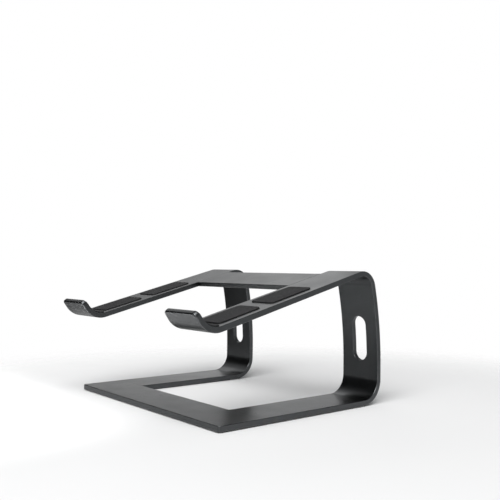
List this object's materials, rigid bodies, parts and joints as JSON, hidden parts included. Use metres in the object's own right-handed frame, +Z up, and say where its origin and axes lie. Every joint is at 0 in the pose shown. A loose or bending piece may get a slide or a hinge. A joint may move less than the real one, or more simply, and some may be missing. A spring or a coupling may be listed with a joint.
{
  "type": "laptop stand",
  "caption": "Fixed desktop laptop riser: a flat front bar, bent side frames with cable slots, sloping arms with upturned hooks, a rear crossbar, rubber pads and feet.",
  "frame": {"origin": "centre of the stand's outline at table level", "axes": "+X to the user's right across the stand, +Y from the front edge to the rear legs, +Z up from the table"},
  "size_m": [0.24, 0.2234, 0.1297],
  "materials": {
    "plate_aluminium": "dark grey anodised, fine bead-blasted satin",
    "pad_rubber": "matt black silicone rubber",
    "foot_rubber": "matt black silicone rubber",
    "screw_steel": "black oxide"
  },
  "bodies": {
    "root": {"front_bar": "plate_aluminium", "left_side_frame": "plate_aluminium", "right_side_frame": "plate_aluminium", "upper_crossbar": "plate_aluminium", "left_hook_pad": "pad_rubber", "right_hook_pad": "pad_rubber", "left_front_arm_pad": "pad_rubber", "right_front_arm_pad": "pad_rubber", "left_rear_arm_pad": "pad_rubber", "right_rear_arm_pad": "pad_rubber", "left_front_foot": "foot_rubber", "right_front_foot": "foot_rubber", "left_side_foot": "foot_rubber", "right_side_foot": "foot_rubber", "left_base_screw_outer": "screw_steel", "left_base_screw_inner": "screw_steel", "right_base_screw_outer": "screw_steel", "right_base_screw_inner": "screw_steel", "left_arm_screw_front": "screw_steel", "left_arm_screw_rear": "screw_steel", "right_arm_screw_front": "screw_steel", "right_arm_screw_rear": "screw_steel"}
  },
  "joints": []
}
